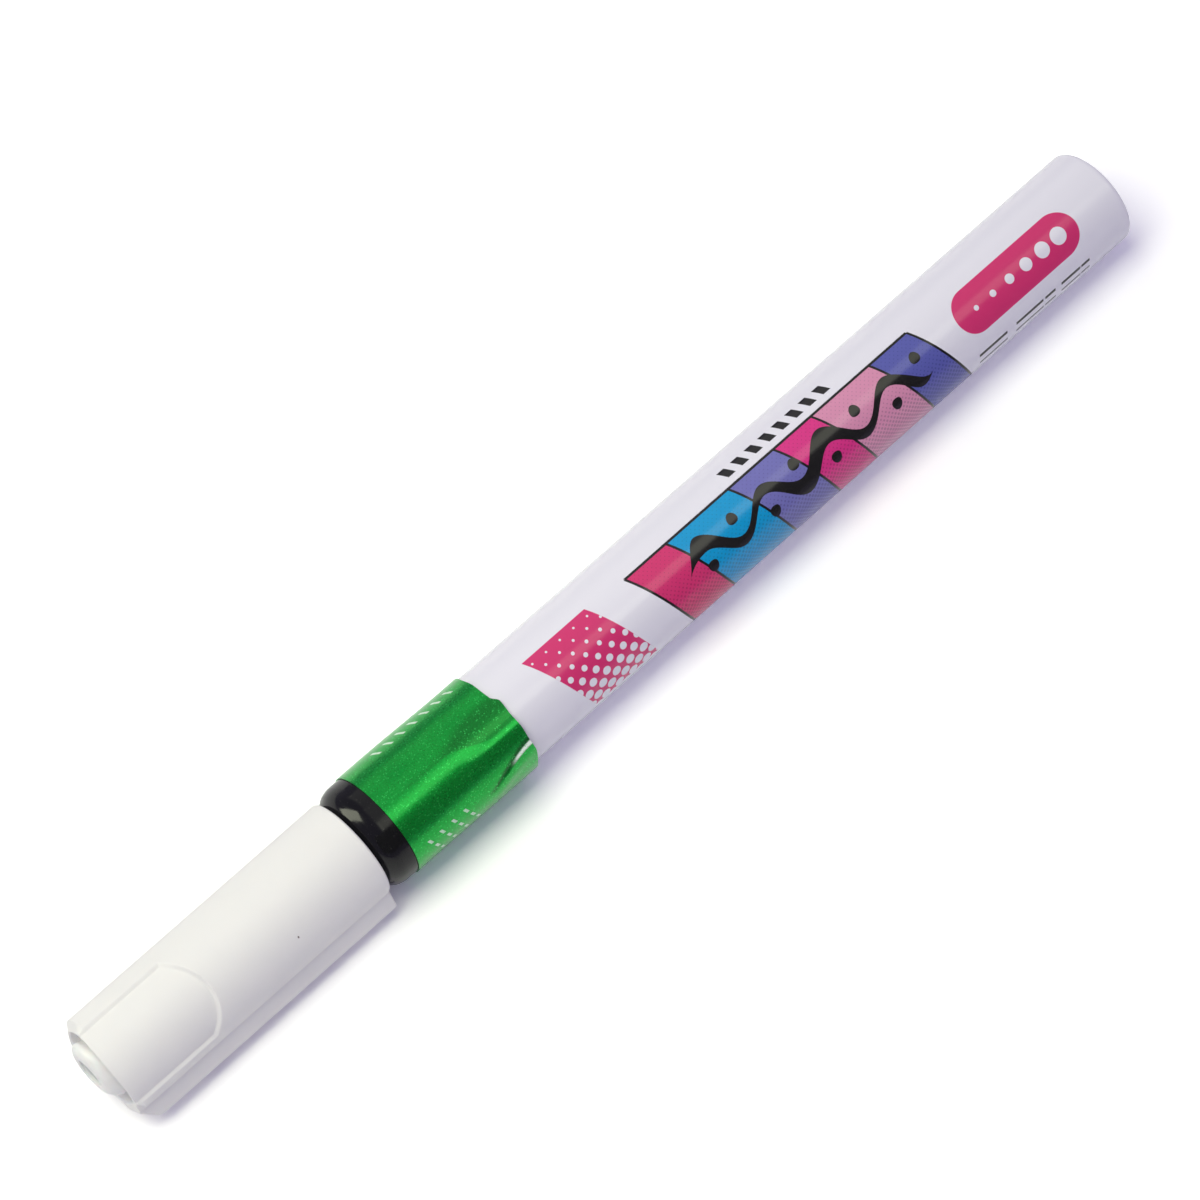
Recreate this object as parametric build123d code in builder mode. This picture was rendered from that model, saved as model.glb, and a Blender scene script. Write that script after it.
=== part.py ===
# Valve-action paint marker, capped and lying on its side.
# Millimetres. X runs along the axis from the closed end of the barrel to the tip, and Z is up.
import os
from math import cos, radians, sin, sqrt

from build123d import *

# Barrel: a painted aluminium tube, closed at one end
barrel_od = 11.0
barrel_wall = 0.5
barrel_length = 100.0
barrel_floor = 0.8
barrel_end_round = 0.6
barrel_floor_round = 0.5
neck_step = 0.2
neck_lead = 0.3

# Film band wrapped over the joint of barrel and section, its end lapped over its start
band_length = 15.8
band_over_flange = 0.8
film = 0.08
film_gap = 0.03
film_seam = 200.0
film_lap = 22.0
film_rise = 20.0

# Front section: flange and shoulder outside, plug in the barrel, nose in the cap
flange_od = 11.6
flange_length = 2.0
shoulder_round = 2.4
plug_length = 12.0
plug_gap = 0.02
cavity_d = 7.8
web_depth = 1.0
web_thickness = 2.0
web_hole_d = 3.0
nose_od = 8.5
nose_length = 7.8
nose_cone_length = 2.0
snout_od = 5.1
snout_length = 4.0
well_d = 5.2
well_length = 9.0
bead_height = 0.1
bead_width = 1.2
bead_from_shoulder = 3.0

# Gasket ring in a groove of the plug
gasket_section = 0.55
gasket_width = 1.2
gasket_from_plug_end = 5.0
gasket_gap = 0.02

# Nib
nib_od = 2.2
nib_gap = 0.1
nib_out = 6.0
nib_cone_length = 3.0
nib_point_d = 1.0

# Valve: the stem's conical head shuts against the seat, and the cup holds its spring
seat_length = 3.0
seat_mouth_d = 5.2
seat_throat_d = 3.0
seat_cone_length = 1.2
valve_gap = 0.12
stem_od = 2.0
head_od = 4.8
head_length = 1.2
guide_od = 2.2
guide_length = 5.5
cup_length = 10.4
cup_wall = 0.85
cup_floor = 0.8
flow_hole_count = 4
flow_hole_d = 1.2
flow_circle_d = 3.8
fit_gap = 0.02

# Spring between the cup's floor and the stem's head
wire_d = 0.4
wire_sides = 8
coil_d = 4.0
half_turn_count = 11
spring_gap = 0.1

# Mixing ball, lying on the wall of the bore
ball_d = 6.0
ball_gap = 0.03
ball_from_floor = 30.0

# Cap: a shell open at both ends, with a wing and a thumb panel, turned about the axis as it lies
cap_od = 11.0
cap_wall = 1.1
cap_length = 32.56
cap_over_shoulder = 0.12
cap_turn = 28.0
mouth_round = 0.3
mouth_lead = 0.3
rim_bevel = 0.6
scoop_depth = 0.35
wing_from_rim = 0.05
wing_turn = 96.7
wing_reach = 7.24
wing_root_width = 3.2
wing_tip_width = 1.1
wing_root_round = 0.3
wing_tip_round = 0.25
wing_end_slope = 1.6
panel_depth = 0.35
panel_half_angle = 54.0
panel_length = 12.33
panel_arch_rise = 2.0

# Inner cap: a tube that shuts over the snout, held in the shell by fins
tube_gap = 0.1
tube_wall = 0.6
tube_from_cone = 0.45
tail_out = 0.61
tail_round = 1.3
tail_wall = 3.3
recess_d = 3.1
recess_depth = 0.6
fin_count = 4
fin_thickness = 0.9
fin_length = 12.0
fin_from_tube_mouth = 4.5
fin_gap = 0.02

# Stations along the axis and radii that follow from these sizes
barrel_r = barrel_od / 2
bore_r = barrel_r - barrel_wall
neck_r = barrel_r - neck_step
band_front = barrel_length + band_over_flange
band_back = band_front - band_length
neck_back = band_back - neck_lead

flange_r = flange_od / 2
flange_front = barrel_length + flange_length
nose_r = nose_od / 2
shoulder_drop = flange_r - nose_r
shoulder_length = sqrt(shoulder_round**2 - (shoulder_round - shoulder_drop) ** 2)
nose_back = flange_front + shoulder_length
nose_front = nose_back + nose_length
cone_front = nose_front + nose_cone_length
snout_r = snout_od / 2
snout_front = cone_front + snout_length
plug_r = bore_r - plug_gap
plug_back = barrel_length - plug_length
cavity_r = cavity_d / 2
web_back = barrel_length + web_depth
web_front = web_back + web_thickness
well_r = well_d / 2
well_front = web_front + well_length
bead_x = nose_back + bead_from_shoulder

groove_back = plug_back + gasket_from_plug_end
groove_front = groove_back + gasket_width
groove_r = plug_r - gasket_section

nib_r = nib_od / 2
nib_bore_r = nib_r + nib_gap
nib_point_r = nib_point_d / 2
nib_back = web_front
nib_front = snout_front + nib_out

seat_back = web_back - seat_length
seat_mouth_r = seat_mouth_d / 2
seat_throat_r = seat_throat_d / 2
seat_slope = seat_cone_length / (seat_mouth_r - seat_throat_r)
head_r = head_od / 2
stem_r = stem_od / 2
guide_r = guide_od / 2
head_front = seat_back + (seat_mouth_r - head_r) * seat_slope - valve_gap
head_back = head_front - head_length
stem_cone_front = head_front + (head_r - stem_r) * seat_slope
guide_back = head_back - guide_length
cup_r = cavity_r - fit_gap
cup_back = seat_back - cup_length
cup_inside = cup_back + cup_floor

wire_r = wire_d / 2
coil_r = coil_d / 2
spring_back = cup_inside + spring_gap + wire_r
spring_front = head_back - spring_gap - wire_r
half_pitch = (spring_front - spring_back) / half_turn_count

ball_r = ball_d / 2

cap_r = cap_od / 2
cap_bore_r = cap_r - cap_wall
mouth_x = nose_back - cap_over_shoulder
rim_x = mouth_x + cap_length
side_rim_x = rim_x - scoop_depth
scoop_r = (cap_r**2 + scoop_depth**2) / (2 * scoop_depth)
panel_half_width = cap_r * sin(radians(panel_half_angle))
panel_apex_x = rim_x - panel_length
panel_spring_x = panel_apex_x + panel_arch_rise

tube_bore_r = snout_r + tube_gap
tube_r = tube_bore_r + tube_wall
tube_back = cone_front + tube_from_cone
tail_x = rim_x + tail_out
fin_back = tube_back + fin_from_tube_mouth
fin_r = cap_bore_r - fin_gap

# Directions of the cap as it lies: its thumb panel looks up and to the side, its wing points out and down
panel_up = Vector(0, sin(radians(cap_turn)), cos(radians(cap_turn)))
panel_out = Vector(0, cos(radians(cap_turn)), -sin(radians(cap_turn)))
wing_out = Vector(0, sin(radians(cap_turn + wing_turn)), cos(radians(cap_turn + wing_turn)))
wing_up = Vector(0, -cos(radians(cap_turn + wing_turn)), sin(radians(cap_turn + wing_turn)))

# Tolerance for picking edges and corners by their place
near = 0.001


def across(station):
    """The plane square to the axis at a station, with the thumb panel up."""
    return Plane(origin=(station, 0, 0), x_dir=panel_out, z_dir=(1, 0, 0))


def at_station(edges, station):
    """The edges that lie wholly in the plane at a station."""
    return edges.filter_by_position(Axis.X, station - near, station + near)


# Barrel
with BuildPart() as barrel:
    with BuildSketch(Plane.XY):
        with BuildLine():
            Polyline(
                (0, 0),
                (0, barrel_r),
                (neck_back, barrel_r),
                (neck_back + neck_step, neck_r),
                (barrel_length, neck_r),
                (barrel_length, bore_r),
                (barrel_floor, bore_r),
                (barrel_floor, 0),
                close=True,
            )
        make_face()
    revolve(axis=Axis.X)
    fillet(at_station(barrel.edges(), 0), barrel_end_round)
    fillet(at_station(barrel.edges(), barrel_floor), barrel_floor_round)

# Film band: one turn and a lap, with the lapped end lifted over the start
film_r = flange_r + film_gap
lap_r = film_r + film + film_gap
with BuildPart() as foil_band:
    with BuildSketch(Plane(origin=(band_back, 0, 0), x_dir=(0, 1, 0), z_dir=(1, 0, 0))):
        with BuildLine():
            for lift in (0, film):
                turn = CenterArc((0, 0), film_r + lift, film_seam, 360 - film_rise)
                lap = CenterArc((0, 0), lap_r + lift, film_seam, film_lap)
                halfway = film_seam - film_rise / 2
                rise_r = (film_r + lap_r) / 2 + lift
                ThreePointArc(
                    turn @ 1,
                    (rise_r * cos(radians(halfway)), rise_r * sin(radians(halfway))),
                    lap @ 0,
                )
                if lift == 0:
                    under_start, under_end = turn @ 0, lap @ 1
            Line(under_start, turn @ 0)
            Line(under_end, lap @ 1)
        make_face()
    extrude(amount=band_length)

# Front section
with BuildPart() as front_section:
    with BuildSketch(Plane.XY):
        with BuildLine():
            Polyline(
                (plug_back, cavity_r),
                (plug_back, plug_r),
                (groove_back, plug_r),
                (groove_back, groove_r),
                (groove_front, groove_r),
                (groove_front, plug_r),
                (barrel_length, plug_r),
                (barrel_length, flange_r),
                (flange_front, flange_r),
            )
            TangentArc((flange_front, flange_r), (nose_back, nose_r), tangent=(1, 0))
            Line((nose_back, nose_r), (bead_x - bead_width / 2, nose_r))
            ThreePointArc(
                (bead_x - bead_width / 2, nose_r),
                (bead_x, nose_r + bead_height),
                (bead_x + bead_width / 2, nose_r),
            )
            Polyline(
                (bead_x + bead_width / 2, nose_r),
                (nose_front, nose_r),
                (cone_front, snout_r),
                (snout_front, snout_r),
                (snout_front, nib_bore_r),
                (well_front, nib_bore_r),
                (well_front, well_r),
                (web_front, well_r),
                (web_front, web_hole_d / 2),
                (web_back, web_hole_d / 2),
                (web_back, cavity_r),
                (plug_back, cavity_r),
            )
        make_face()
    revolve(axis=Axis.X)

# Gasket ring
with BuildPart() as section_gasket:
    with BuildSketch(Plane.XY):
        with BuildLine():
            Polyline(
                (groove_back + gasket_gap, groove_r + gasket_gap),
                (groove_front - gasket_gap, groove_r + gasket_gap),
                (groove_front - gasket_gap, plug_r),
                (groove_back + gasket_gap, plug_r),
                close=True,
            )
        make_face()
    revolve(axis=Axis.X)

# Nib: a fibre rod with a conical, round-ended point
with BuildPart() as nib:
    with BuildSketch(Plane.XY):
        with BuildLine():
            point = CenterArc((nib_front - nib_point_r, 0), nib_point_r, 0, 90)
            Polyline(
                point @ 1,
                (nib_front - nib_point_r - nib_cone_length, nib_r),
                (nib_back, nib_r),
                (nib_back, 0),
                point @ 0,
            )
        make_face()
    revolve(axis=Axis.X)

# Valve seat
with BuildPart() as valve_seat:
    with BuildSketch(Plane.XY):
        with BuildLine():
            Polyline(
                (seat_back, seat_mouth_r),
                (seat_back, cup_r),
                (web_back, cup_r),
                (web_back, seat_throat_r),
                (seat_back + seat_cone_length, seat_throat_r),
                close=True,
            )
        make_face()
    revolve(axis=Axis.X)

# Valve stem: guide pin in the spring, conical head, and the rod that meets the nib
with BuildPart() as valve_stem:
    with BuildSketch(Plane.XY):
        with BuildLine():
            Polyline(
                (guide_back, 0),
                (guide_back, guide_r),
                (head_back, guide_r),
                (head_back, head_r),
                (head_front, head_r),
                (stem_cone_front, stem_r),
                (nib_back, stem_r),
                (nib_back, 0),
                close=True,
            )
        make_face()
    revolve(axis=Axis.X)

# Spring cup, with flow holes in its floor
with BuildPart() as spring_cup:
    with BuildSketch(Plane.XY):
        with BuildLine():
            Polyline(
                (cup_back, 0),
                (cup_back, cup_r),
                (seat_back, cup_r),
                (seat_back, cup_r - cup_wall),
                (cup_inside, cup_r - cup_wall),
                (cup_inside, 0),
                close=True,
            )
        make_face()
    revolve(axis=Axis.X)
    with BuildSketch(across(cup_back)):
        with PolarLocations(flow_circle_d / 2, flow_hole_count):
            Circle(flow_hole_d / 2)
    extrude(amount=cup_floor, mode=Mode.SUBTRACT)

# Spring: half turns that lean forward by half a pitch each, so that they meet smoothly
with BuildPart() as valve_spring:
    with BuildLine() as coil:
        lean = Vector(half_pitch, -2 * coil_r, 0)
        swing = lean.length / 2
        for index in range(half_turn_count):
            side = 1 if index % 2 == 0 else -1
            start = Vector(spring_back + index * half_pitch, side * coil_r, 0)
            end = Vector(spring_back + (index + 1) * half_pitch, -side * coil_r, 0)
            crown = (start + end) * 0.5 + Vector(0, 0, side * swing)
            ThreePointArc(start, crown, end)
    with BuildSketch(Plane(origin=(spring_back, coil_r, 0), x_dir=(1, 0, 0), z_dir=(0, 0, 1))):
        RegularPolygon(wire_r, wire_sides)
    sweep(path=coil.wires()[0])

# Mixing ball
with BuildPart() as mixing_ball:
    with Locations((ball_from_floor, 0, -(bore_r - ball_r - ball_gap))):
        Sphere(ball_r)

# Cap shell: a scooped round bar with a sunk thumb panel, then its wing, its mouth and its bore
wing_end_x = side_rim_x - wing_from_rim
wing_root_x = sqrt(cap_r**2 - (wing_root_width / 2) ** 2)
wing_base_x = (wing_root_x + panel_half_width) / 2
wing_across = Plane(origin=(mouth_x, 0, 0), x_dir=wing_out, z_dir=(1, 0, 0))
wing_side = Plane(origin=(0, 0, 0), x_dir=(1, 0, 0), z_dir=wing_up)
panel_top = Plane(origin=(0, 0, 0), x_dir=(1, 0, 0), z_dir=panel_up)
panel_side = Plane(origin=(0, 0, 0), x_dir=(1, 0, 0), z_dir=-panel_out)
with BuildPart() as panel_tool:
    with BuildSketch(panel_top):
        with BuildLine():
            arch = ThreePointArc(
                (panel_spring_x, -panel_half_width),
                (panel_apex_x, 0),
                (panel_spring_x, panel_half_width),
            )
            Polyline(arch @ 1, (tail_x, panel_half_width), (tail_x, -panel_half_width), arch @ 0)
        make_face()
    extrude(amount=cap_od)
    with BuildSketch(across(panel_apex_x)):
        Circle(cap_r - panel_depth)
    extrude(amount=tail_x - panel_apex_x, mode=Mode.SUBTRACT)

with BuildPart() as cap_wing:
    with BuildSketch(wing_across):
        Circle(cap_r)
        with BuildLine():
            Polyline(
                (0, -wing_root_width / 2),
                (wing_root_x, -wing_root_width / 2),
                (wing_reach, -wing_tip_width / 2),
                (wing_reach, wing_tip_width / 2),
                (wing_root_x, wing_root_width / 2),
                (0, wing_root_width / 2),
                close=True,
            )
        make_face()
        fillet(vertices().group_by(Axis.X)[-1], wing_tip_round)
        roots = vertices().filter_by_position(Axis.X, wing_root_x - near, wing_root_x + near)
        fillet(roots, wing_root_round)
        with Locations((wing_base_x, 0)):
            Rectangle(cap_r, cap_od, align=(Align.MIN, Align.CENTER), mode=Mode.INTERSECT)
    extrude(amount=wing_end_x - mouth_x)
    with BuildSketch(wing_side):
        with BuildLine():
            Polyline(
                (wing_end_x, cap_r),
                (wing_end_x - wing_end_slope, wing_reach),
                (wing_end_x, wing_reach),
                close=True,
            )
        make_face()
    extrude(amount=cap_r, both=True, mode=Mode.SUBTRACT)

with BuildPart() as cap_shell:
    with BuildSketch(across(mouth_x)):
        Circle(cap_r)
    extrude(amount=cap_length)
    with BuildSketch(panel_side):
        with Locations((side_rim_x + scoop_r, 0)):
            Circle(scoop_r)
    extrude(amount=wing_reach, both=True, mode=Mode.SUBTRACT)
    chamfer(cap_shell.faces().sort_by(Axis.X)[-1].outer_wire().edges(), rim_bevel)
    add(panel_tool.part, mode=Mode.SUBTRACT)
    add(cap_wing.part)
    fillet(at_station(cap_shell.edges(), mouth_x), mouth_round)
    with BuildSketch(Plane.XY):
        with BuildLine():
            Polyline(
                (mouth_x, 0),
                (mouth_x, cap_bore_r + mouth_lead),
                (mouth_x + mouth_lead, cap_bore_r),
                (tail_x, cap_bore_r),
                (tail_x, 0),
                close=True,
            )
        make_face()
    revolve(axis=Axis.X, mode=Mode.SUBTRACT)

# Inner cap: tube, closed tail with a round recess, and fins
with BuildPart() as inner_cap:
    with BuildSketch(Plane.XY):
        with BuildLine():
            Polyline(
                (tube_back, tube_bore_r),
                (tube_back, tube_r),
                (tail_x, tube_r),
                (tail_x, recess_d / 2),
                (tail_x - recess_depth, recess_d / 2),
                (tail_x - recess_depth, 0),
                (tail_x - tail_wall, 0),
                (tail_x - tail_wall, tube_bore_r),
                close=True,
            )
        make_face()
    revolve(axis=Axis.X)
    fillet(at_station(inner_cap.edges(), tail_x).sort_by(SortBy.LENGTH)[-1], tail_round)
    with BuildSketch(across(fin_back)):
        with PolarLocations(0, fin_count, start_angle=180 / fin_count):
            with Locations(((tube_bore_r + fin_r) / 2, 0)):
                Rectangle(fin_r - tube_bore_r, fin_thickness)
        Circle(fin_r, mode=Mode.INTERSECT)
        Circle((tube_bore_r + tube_r) / 2, mode=Mode.SUBTRACT)
    extrude(amount=fin_length)

pieces = {
    "barrel": barrel,
    "foil_band": foil_band,
    "front_section": front_section,
    "section_gasket": section_gasket,
    "nib": nib,
    "valve_seat": valve_seat,
    "valve_stem": valve_stem,
    "spring_cup": spring_cup,
    "valve_spring": valve_spring,
    "mixing_ball": mixing_ball,
    "cap_shell": cap_shell,
    "inner_cap": inner_cap,
}
os.makedirs("parts", exist_ok=True)
for name, piece in pieces.items():
    piece.part.label = name
    export_step(piece.part, f"parts/{name}.step")
    print(name, piece.part.is_valid, len(piece.solids()), round(piece.part.volume, 3))
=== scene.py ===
# %% [markdown]
# # A capped paint marker, dressed for its portrait
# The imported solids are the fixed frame: they say where each piece of the marker is and how it moves. This
# lesson puts finished surfaces around them, one piece at a time, and ends with the light and the camera.
# Everything is worked out in millimetres and becomes metres in one place, where a mesh is made.

# %% Load the frame
from functools import partial, reduce
from math import atan2, cos, pi, radians, sin, sqrt, tan

import bmesh
import bpy
import numpy as np
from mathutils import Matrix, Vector


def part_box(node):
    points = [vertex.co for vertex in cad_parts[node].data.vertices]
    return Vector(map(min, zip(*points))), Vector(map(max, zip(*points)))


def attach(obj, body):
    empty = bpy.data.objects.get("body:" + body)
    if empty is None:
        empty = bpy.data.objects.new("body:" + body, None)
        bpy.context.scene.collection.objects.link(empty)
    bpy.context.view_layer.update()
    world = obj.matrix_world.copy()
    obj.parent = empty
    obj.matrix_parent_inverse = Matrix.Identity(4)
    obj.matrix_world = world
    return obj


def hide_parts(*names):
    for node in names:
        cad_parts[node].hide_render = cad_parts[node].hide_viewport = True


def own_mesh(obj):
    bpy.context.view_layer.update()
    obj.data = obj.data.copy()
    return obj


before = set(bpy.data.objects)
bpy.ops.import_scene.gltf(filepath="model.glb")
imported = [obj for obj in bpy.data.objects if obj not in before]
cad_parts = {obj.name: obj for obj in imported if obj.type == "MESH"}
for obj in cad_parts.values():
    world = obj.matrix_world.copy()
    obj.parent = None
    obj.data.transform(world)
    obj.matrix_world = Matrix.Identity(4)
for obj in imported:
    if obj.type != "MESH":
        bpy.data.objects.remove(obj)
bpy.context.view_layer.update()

MM = 0.001


def node_box(node):
    """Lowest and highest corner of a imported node, in millimetres."""
    low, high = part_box(node)
    return np.array(low) / MM, np.array(high) / MM


# %% [markdown]
# ## How a surface is made
# Nearly every piece of a marker is turned or moulded about one axis. A shape is therefore a grid of
# points: rows run along the marker, columns run round it. One function turns such a grid into a mesh of
# quads. It could be done by spinning an edge in edit mode, but a grid of numbers can also be dented,
# sloped or cut before it becomes a mesh. The same grid gives each piece a tidy map of its own surface,
# named for baking.

# %% From a grid of points to a mesh
def put_in_scene(name, data):
    """A new object of some data, linked to the scene."""
    made = bpy.data.objects.new(name, data)
    bpy.context.scene.collection.objects.link(made)
    return made


SMOOTH_BELOW = radians(38)
MEET_WITHIN = 2e-8
BAKE_MAP = "OFBake"


def line_lengths(points, closed):
    """Share of the way, from 0 to 1, at which each line of points lies, by the mean step between lines."""
    ahead = np.concatenate([points, points[:1]]) if closed else points
    steps = np.linalg.norm(np.diff(ahead, axis=0), axis=-1).mean(1) + 1e-6
    way = np.concatenate([[0], np.cumsum(steps)])
    return way / way[-1]


def grid_piece(name, points, close_rows=False, close_columns=False, marks=None):
    """Mesh object of a grid (rows, columns, xyz in mm): every cell of four neighbouring points is one quad.
    A closed direction joins its last line to its first. Points that meet, as at a pole, are merged, and faces
    are turned outwards. marks holds named numbers, one for each point, that a finish can read."""
    rows, columns = points.shape[:2]
    row = np.arange(rows if close_rows else rows - 1)[:, None]
    column = np.arange(columns if close_columns else columns - 1)[None, :]
    spread = np.zeros_like(row + column)
    corners = [(row, column), (row, column + 1), (row + 1, column + 1), (row + 1, column)]
    quads = np.stack([(r % rows) * columns + c % columns + spread for r, c in corners], -1).reshape(-1, 4)
    mesh = bpy.data.meshes.new(name)
    mesh.from_pydata((points.reshape(-1, 3) * MM).tolist(), [], quads.tolist())
    across = line_lengths(points.swapaxes(0, 1), close_columns)
    down = line_lengths(points, close_rows)
    places = np.stack([np.stack([across[c + spread], down[r + spread]], -1) for r, c in corners], -2)
    mesh.uv_layers.new(name=BAKE_MAP).uv.foreach_set("vector", places.astype(np.float32).ravel())
    for mark, values in (marks or {}).items():
        numbers = mesh.attributes.new(mark, "FLOAT", "POINT")
        numbers.data.foreach_set("value", values.astype(np.float32).ravel())
    solid = bmesh.new()
    solid.from_mesh(mesh)
    bmesh.ops.remove_doubles(solid, verts=solid.verts, dist=MEET_WITHIN)
    bmesh.ops.recalc_face_normals(solid, faces=solid.faces)
    solid.to_mesh(mesh)
    solid.free()
    mesh.shade_smooth()
    mesh.set_sharp_from_angle(angle=SMOOTH_BELOW)
    return put_in_scene(name, mesh)


def stand_for(piece, node, body):
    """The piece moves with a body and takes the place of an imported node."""
    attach(piece, body)
    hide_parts(node)
    print(piece.name, len(piece.data.polygons), "faces on", body)


# %% Profiles and turning
def arc(centre, radius, start, end, steps=10):
    """Points of an arc from one angle to another in degrees: centre plus radius times (cos, sin)."""
    turn = np.radians(np.linspace(start, end, steps + 1))
    return np.array(centre) + radius * np.stack([np.cos(turn), np.sin(turn)], -1)


def rounded(corners, steps=8, guard=0.05):
    """Profile through corners (along, radius, rounding): a corner with a rounding becomes a tangent arc, with
    one guard point beyond each end so that the flats beside it stay flat in the shading."""
    places = np.array([corner[:2] for corner in corners], float)
    line = []
    for index, (place, corner) in enumerate(zip(places, corners)):
        rounding = corner[2] if len(corner) > 2 else 0
        if not rounding:
            line.append(place[None])
            continue
        back, ahead = places[index - 1] - place, places[(index + 1) % len(places)] - place
        back, ahead = back / np.linalg.norm(back), ahead / np.linalg.norm(ahead)
        opening = np.arccos(np.clip(back @ ahead, -1, 1))
        reach = rounding / tan(opening / 2)
        middle = place + (back + ahead) / np.linalg.norm(back + ahead) * rounding / sin(opening / 2)
        first, last = place + back * reach - middle, place + ahead * reach - middle
        share = np.linspace(0, 1, steps + 1)[:, None]
        bend = pi - opening
        curve = (np.sin((1 - share) * bend) * first + np.sin(share * bend) * last) / sin(bend)
        line += [place[None] + back * (reach + guard), middle + curve, place[None] + ahead * (reach + guard)]
    return np.concatenate(line)


def turned(name, profile, ring=False, columns=160):
    """A profile (along, radius) turned about the axis: x is along, y is radius sin a, z is radius cos a.
    A ring's profile is a closed loop, and any other one starts and ends on the axis."""
    angle = np.linspace(0, 2 * pi, columns, endpoint=False)
    around = np.stack([np.zeros(columns), np.sin(angle), np.cos(angle)], -1)
    points = profile[:, None, 1:] * around
    points[..., 0] = profile[:, :1]
    return grid_piece(name, points, close_rows=ring, close_columns=True)


# %% [markdown]
# ## How a finish is made
# A finish is a small network of nodes. Written out one node at a time it is hard to read, so a helper
# wires the nodes and lets a finish be written almost like arithmetic. Patterns read Object coordinates,
# turned into millimetres, because every piece lies unmoved in the frame: a print stays where it is put
# and has a real size.

# %% Wiring a finish
# Turn about the axis of the side that faces the camera
FACING = radians(18.68)


def light(red, green, blue):
    """A colour as a picture shows it, from 0 to 255, made linear by the standard curve."""
    share = np.array([red, green, blue]) / 255
    linear = np.where(share < 0.04045, share / 12.92, ((share + 0.055) / 1.055) ** 2.4)
    return (*linear.tolist(), 1.0)


class Finish:
    """A material in the making. Each method adds nodes and gives back the output to use next."""

    def __init__(self, name, shader="ShaderNodeBsdfPrincipled", **constants):
        self.material = bpy.data.materials.new(name)
        self.material.use_nodes = True
        self.tree = self.material.node_tree
        self.tree.nodes.clear()
        self.shader = self.add(shader)
        out = self.add("ShaderNodeOutputMaterial")
        self.tree.links.new(self.shader.outputs["BSDF"], out.inputs["Surface"])
        for socket, value in constants.items():
            self.shader.inputs[socket.replace("_", " ")].default_value = value
        place = self.add("ShaderNodeTexCoord").outputs["Object"]
        self.place = self.vector("SCALE", place, Scale=1 / MM)
        split = self.add("ShaderNodeSeparateXYZ")
        self.put(split.inputs[0], self.place)
        self.x, self.y, self.z = split.outputs

    def add(self, kind, **settings):
        made = self.tree.nodes.new(kind)
        for setting, value in settings.items():
            setattr(made, setting, value)
        return made

    def put(self, socket, value):
        if isinstance(value, bpy.types.NodeSocket):
            self.tree.links.new(value, socket)
        else:
            socket.default_value = value

    def calc(self, operation, *values):
        made = self.add("ShaderNodeMath", operation=operation)
        for socket, value in zip(made.inputs, values):
            self.put(socket, value)
        return made.outputs[0]

    def vector(self, operation, *values, **named):
        made = self.add("ShaderNodeVectorMath", operation=operation)
        for socket, value in zip(made.inputs, values):
            self.put(socket, value)
        for socket, value in named.items():
            self.put(made.inputs[socket], value)
        return made.outputs[0]

    def rise(self, value, low, high, to=(0.0, 1.0)):
        """Climbs smoothly from one number to another while the value goes from low to high."""
        made = self.add("ShaderNodeMapRange", interpolation_type="SMOOTHSTEP")
        for socket, number in zip(made.inputs, (value, low, high, *to)):
            self.put(socket, number)
        return made.outputs[0]

    def less(self, value, amount):
        return self.calc("SUBTRACT", value, amount)

    def inside(self, distance, reach, soft=0.07):
        """One where a distance in mm is below a reach, with a soft edge."""
        return self.rise(self.less(distance, reach), soft / 2, -soft / 2)

    def between(self, value, low, high, soft=0.07):
        far = self.calc("ABSOLUTE", self.less(value, (low + high) / 2))
        return self.inside(far, (high - low) / 2, soft)

    def times(self, *shares):
        return reduce(partial(self.calc, "MULTIPLY"), shares)

    def either(self, *shares):
        return reduce(partial(self.calc, "MAXIMUM"), shares)

    def length(self, first, second):
        squares = self.calc("MULTIPLY_ADD", second, second, self.times(first, first))
        return self.calc("SQRT", squares)

    def mix(self, share, under, over):
        made = self.add("ShaderNodeMix", data_type="RGBA")
        for socket, value in zip((made.inputs[0], made.inputs[6], made.inputs[7]), (share, under, over)):
            self.put(socket, value)
        return made.outputs[2]

    def noise(self, size, detail=2.0, stretch=None):
        """Cloudy noise from 0 to 1 whose clouds are about a size in mm across."""
        made = self.add("ShaderNodeTexNoise")
        place = self.vector("MULTIPLY", self.place, stretch) if stretch else self.place
        self.put(made.inputs["Vector"], place)
        made.inputs["Scale"].default_value = 1 / size
        made.inputs["Detail"].default_value = detail
        return made.outputs[0]

    def repeat(self, way, pitch):
        """Where a way lies in a cell of a repeat, from -0.5 to 0.5."""
        return self.less(self.calc("FRACT", self.calc("DIVIDE", way, pitch)), 0.5)

    def dots(self, first, second, pitch, radius):
        """One inside round dots on a square grid: the distance to a cell's middle, less a radius in mm."""
        off_middle = self.length(self.repeat(first, pitch), self.repeat(second, pitch))
        return self.inside(self.times(off_middle, pitch), radius, 0.05)

    def way_round(self, radius):
        """The way round from the facing side in mm: the angle about the axis, wrapped, times a radius."""
        angle = self.calc("ARCTAN2", self.y, self.z)
        return self.times(self.calc("WRAP", self.less(angle, FACING), pi, -pi), radius)

    def bump(self, height, depth, strength=1.0):
        """Raises the surface by a height from 0 to 1 times a depth in mm."""
        made = self.add("ShaderNodeBump")
        made.inputs["Strength"].default_value = strength
        made.inputs["Distance"].default_value = depth * MM
        self.put(made.inputs["Height"], height)
        return made.outputs[0]

    def wear(self, **sockets):
        """Puts colours and numbers that vary over the surface on the shader."""
        for socket, value in sockets.items():
            self.put(self.shader.inputs[socket.replace("_", " ")], value)
        print(self.material.name, "wired with", len(self.tree.nodes), "nodes")
        return self.material


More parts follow.
